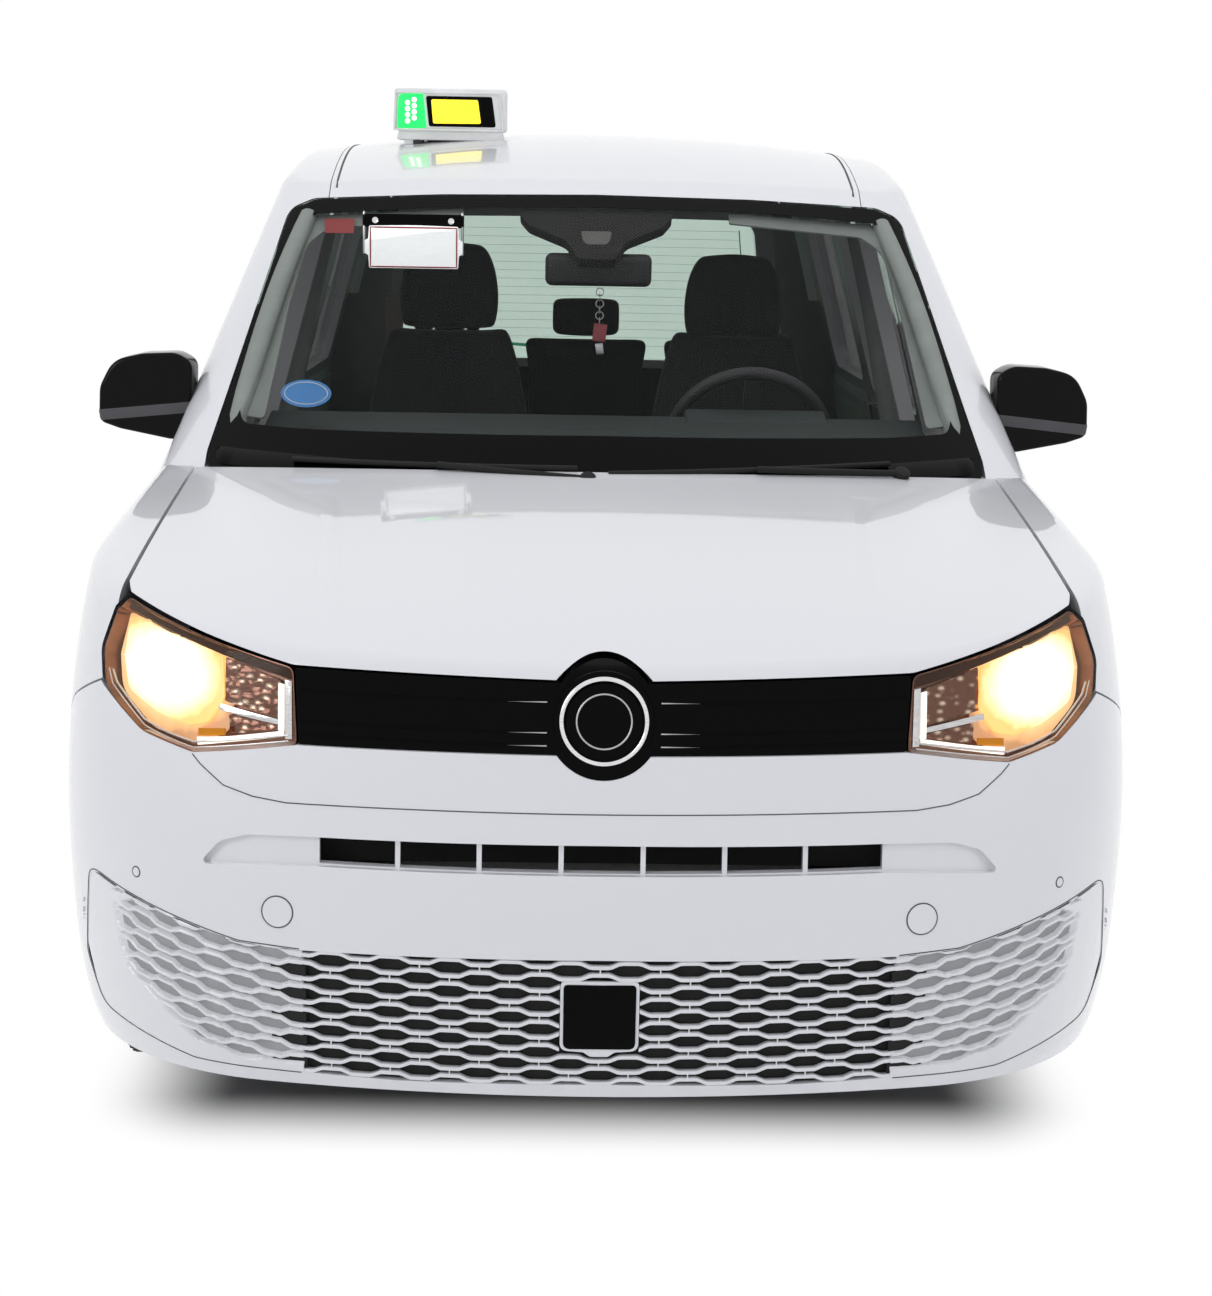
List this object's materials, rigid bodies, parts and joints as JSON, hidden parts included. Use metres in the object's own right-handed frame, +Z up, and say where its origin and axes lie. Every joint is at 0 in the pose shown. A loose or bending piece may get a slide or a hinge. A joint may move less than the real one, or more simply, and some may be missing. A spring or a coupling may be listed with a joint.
{
  "type": "taxi cab",
  "caption": "Compact people-carrier taxi: hollow painted body with glazed cabin, hinged front doors, bonnet and tailgate, steered front wheels, rolling wheels and a lit roof sign.",
  "frame": {"origin": "bottom centre of the bounding box, on the ground", "axes": "+X to the vehicle's left side (the driver's side), +Y to the rear, +Z up; the front faces -Y"},
  "size_m": [2.0986, 4.4999, 1.9119],
  "materials": {
    "body_paint": "gloss white",
    "frame_paint": "gloss white with dark shuts",
    "dark_plastic": "grained black",
    "gloss_black": "polished black",
    "clear_glass": "pale green tint",
    "lamp_lens": "clear with warm lamps behind",
    "tail_lens": "red lens",
    "underbody": "dark coat",
    "seat_cloth": "dark grey cloth",
    "dash_plastic": "grained dark grey",
    "tyre_rubber": "black rubber",
    "rim_alloy": "silver lacquer",
    "chassis_steel": "dark steel",
    "cast_metal": "rough cast",
    "engine_alloy": "cast alloy",
    "sign_plastic": "black sign with lit panel"
  },
  "bodies": {
    "cab": {"floor_pan": "underbody", "left_side_frame": "frame_paint", "right_side_frame": "frame_paint", "roof_panel": "body_paint", "left_front_wing": "body_paint", "right_front_wing": "body_paint", "front_bumper": "body_paint", "radiator_grille": "gloss_black", "lower_grille": "dark_plastic", "left_headlight": "lamp_lens", "right_headlight": "lamp_lens", "windscreen": "clear_glass", "rear_bumper": "body_paint", "left_tail_light": "tail_lens", "right_tail_light": "tail_lens", "left_quarter_window": "clear_glass", "right_quarter_window": "clear_glass", "left_sliding_door": "body_paint", "right_sliding_door": "body_paint", "left_sliding_glass": "clear_glass", "right_sliding_glass": "clear_glass", "driver_seat": "seat_cloth", "passenger_seat": "seat_cloth", "rear_bench": "seat_cloth", "dashboard": "dash_plastic", "engine_block": "engine_alloy", "radiator": "engine_alloy", "front_subframe": "chassis_steel", "rear_axle": "chassis_steel", "exhaust": "chassis_steel", "fuel_tank": "dark_plastic", "roof_sign": "sign_plastic"},
    "left_door": {"left_front_door": "body_paint", "left_door_glass": "clear_glass", "left_door_mirror": "body_paint"},
    "right_door": {"right_front_door": "body_paint", "right_door_glass": "clear_glass", "right_door_mirror": "body_paint"},
    "bonnet": {"bonnet": "body_paint"},
    "tailgate": {"tailgate": "body_paint", "tailgate_glass": "clear_glass"},
    "steering_wheel": {"steering_wheel": "dash_plastic"},
    "left_knuckle": {"left_knuckle": "cast_metal"},
    "right_knuckle": {"right_knuckle": "cast_metal"},
    "front_left_wheel": {"front_left_tyre": "tyre_rubber", "front_left_rim": "rim_alloy"},
    "front_right_wheel": {"front_right_tyre": "tyre_rubber", "front_right_rim": "rim_alloy"},
    "rear_left_wheel": {"rear_left_tyre": "tyre_rubber", "rear_left_rim": "rim_alloy"},
    "rear_right_wheel": {"rear_right_tyre": "tyre_rubber", "rear_right_rim": "rim_alloy"}
  },
  "joints": [
    {"name": "left_door_hinge", "type": "hinge", "parent": "cab", "child": "left_door", "pos_m": [0.918, -0.947, 0.8], "axis": [0, 0, -1], "range_deg": [0, 65]},
    {"name": "right_door_hinge", "type": "hinge", "parent": "cab", "child": "right_door", "pos_m": [-0.918, -0.947, 0.8], "axis": [0, 0, 1], "range_deg": [0, 65]},
    {"name": "bonnet_hinge", "type": "hinge", "parent": "cab", "child": "bonnet", "pos_m": [0, -1.055, 1.105], "axis": [-1, 0, 0], "range_deg": [0, 50]},
    {"name": "tailgate_hinge", "type": "hinge", "parent": "cab", "child": "tailgate", "pos_m": [0, 1.972, 1.816], "axis": [1, 0, 0], "range_deg": [0, 85]},
    {"name": "left_steer", "type": "hinge", "parent": "cab", "child": "left_knuckle", "pos_m": [0.74, -1.365, 0.326], "axis": [0, 0, 1], "range_deg": [-33, 33]},
    {"name": "right_steer", "type": "hinge", "parent": "cab", "child": "right_knuckle", "pos_m": [-0.74, -1.365, 0.326], "axis": [0, 0, 1], "range_deg": [-33, 33]},
    {"name": "steering_wheel_turn", "type": "hinge", "parent": "cab", "child": "steering_wheel", "pos_m": [0.338, -0.69, 1.137], "axis": [0, -0.9063, -0.4226], "range_deg": [-500, 500]},
    {"name": "front_left_roll", "type": "hinge", "parent": "left_knuckle", "child": "front_left_wheel", "pos_m": [0.785, -1.365, 0.326], "axis": [1, 0, 0], "continuous": true},
    {"name": "front_right_roll", "type": "hinge", "parent": "right_knuckle", "child": "front_right_wheel", "pos_m": [-0.785, -1.365, 0.326], "axis": [1, 0, 0], "continuous": true},
    {"name": "rear_left_roll", "type": "hinge", "parent": "cab", "child": "rear_left_wheel", "pos_m": [0.8, 1.39, 0.326], "axis": [1, 0, 0], "continuous": true},
    {"name": "rear_right_roll", "type": "hinge", "parent": "cab", "child": "rear_right_wheel", "pos_m": [-0.8, 1.39, 0.326], "axis": [1, 0, 0], "continuous": true}
  ],
  "couplings": [
    {"joint": "right_steer", "follows": "left_steer", "ratio": 1},
    {"joint": "steering_wheel_turn", "follows": "left_steer", "ratio": -15}
  ]
}
